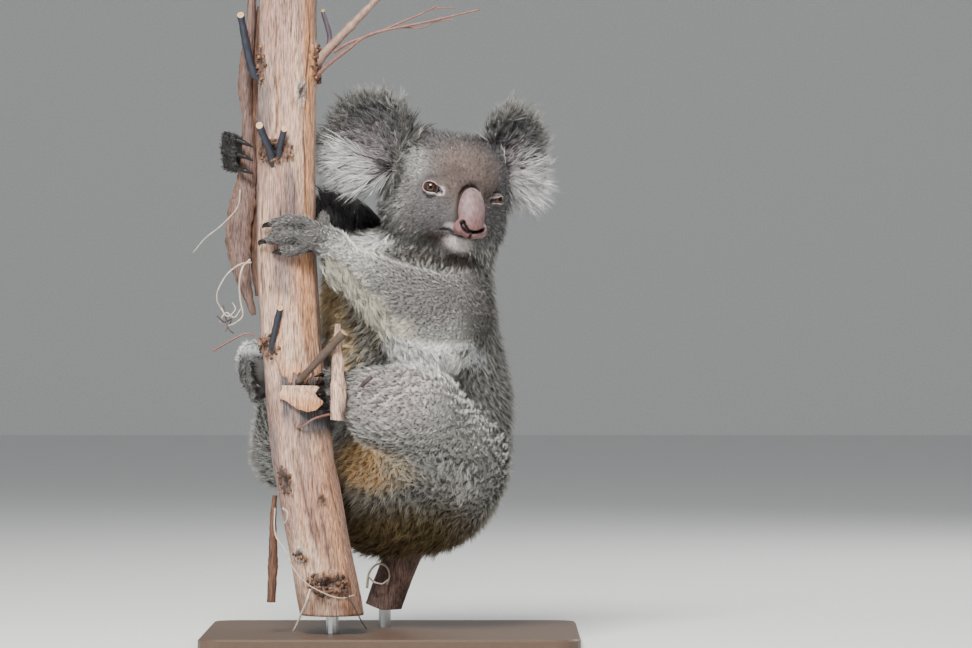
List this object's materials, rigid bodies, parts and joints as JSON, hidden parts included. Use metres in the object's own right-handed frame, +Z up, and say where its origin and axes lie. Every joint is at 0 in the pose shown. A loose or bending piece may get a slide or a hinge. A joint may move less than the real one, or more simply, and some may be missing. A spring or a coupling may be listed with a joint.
{
  "type": "koala",
  "caption": "Life-size koala in a still pose, clinging to a cut length of gum-tree stem that a plain board and rods hold upright.",
  "frame": {"origin": "middle of the underside of the stand's base", "axes": "+Z up; -Y is the side that the koala's face looks out of; +X is the side of its back, so the stem stands on the -X side"},
  "size_m": [0.41, 0.33, 0.724],
  "materials": {
    "coat": "dense soft fur, grey agouti with white and brown areas",
    "claw": "dark horn",
    "eye": "wet and glossy",
    "nose_skin": "bare leathery skin",
    "bark": "smooth gum bark with loose strips",
    "shoot": "dark dead shoots with pale cut ends",
    "stand_board": "satin",
    "stand_rod": "brushed"
  },
  "bodies": {
    "root": {"head": "coat", "neck": "coat", "chest": "coat", "rump": "coat", "upper_arm_left": "coat", "upper_arm_right": "coat", "forearm_left": "coat", "forearm_right": "coat", "hand_left": "coat", "hand_right": "coat", "thigh_left": "coat", "thigh_right": "coat", "shank_left": "coat", "shank_right": "coat", "foot_left": "coat", "foot_right": "coat", "ear_left": "coat", "ear_right": "coat", "claw_hand_left_1": "claw", "claw_hand_left_2": "claw", "claw_hand_left_3": "claw", "claw_hand_left_4": "claw", "claw_hand_left_5": "claw", "claw_hand_right_1": "claw", "claw_hand_right_2": "claw", "claw_hand_right_3": "claw", "claw_hand_right_4": "claw", "claw_hand_right_5": "claw", "claw_foot_left_1": "claw", "claw_foot_left_2": "claw", "claw_foot_left_3": "claw", "claw_foot_left_4": "claw", "claw_foot_right_1": "claw", "claw_foot_right_2": "claw", "claw_foot_right_3": "claw", "claw_foot_right_4": "claw", "eye_left": "eye", "eye_right": "eye", "nose": "nose_skin", "stem": "bark", "seat_stem": "bark", "bark_peel": "bark", "bark_peel_low": "bark", "bark_ribbon": "bark", "bark_flap": "bark", "stub_top_left": "shoot", "stub_pair_outer": "shoot", "stub_pair_inner": "shoot", "stub_middle": "shoot", "stub_top_right": "shoot", "broken_twig": "shoot", "twig_thick": "shoot", "twig_long": "shoot", "stand_base": "stand_board", "stand_rod_stem": "stand_rod", "stand_rod_seat": "stand_rod"}
  },
  "joints": []
}
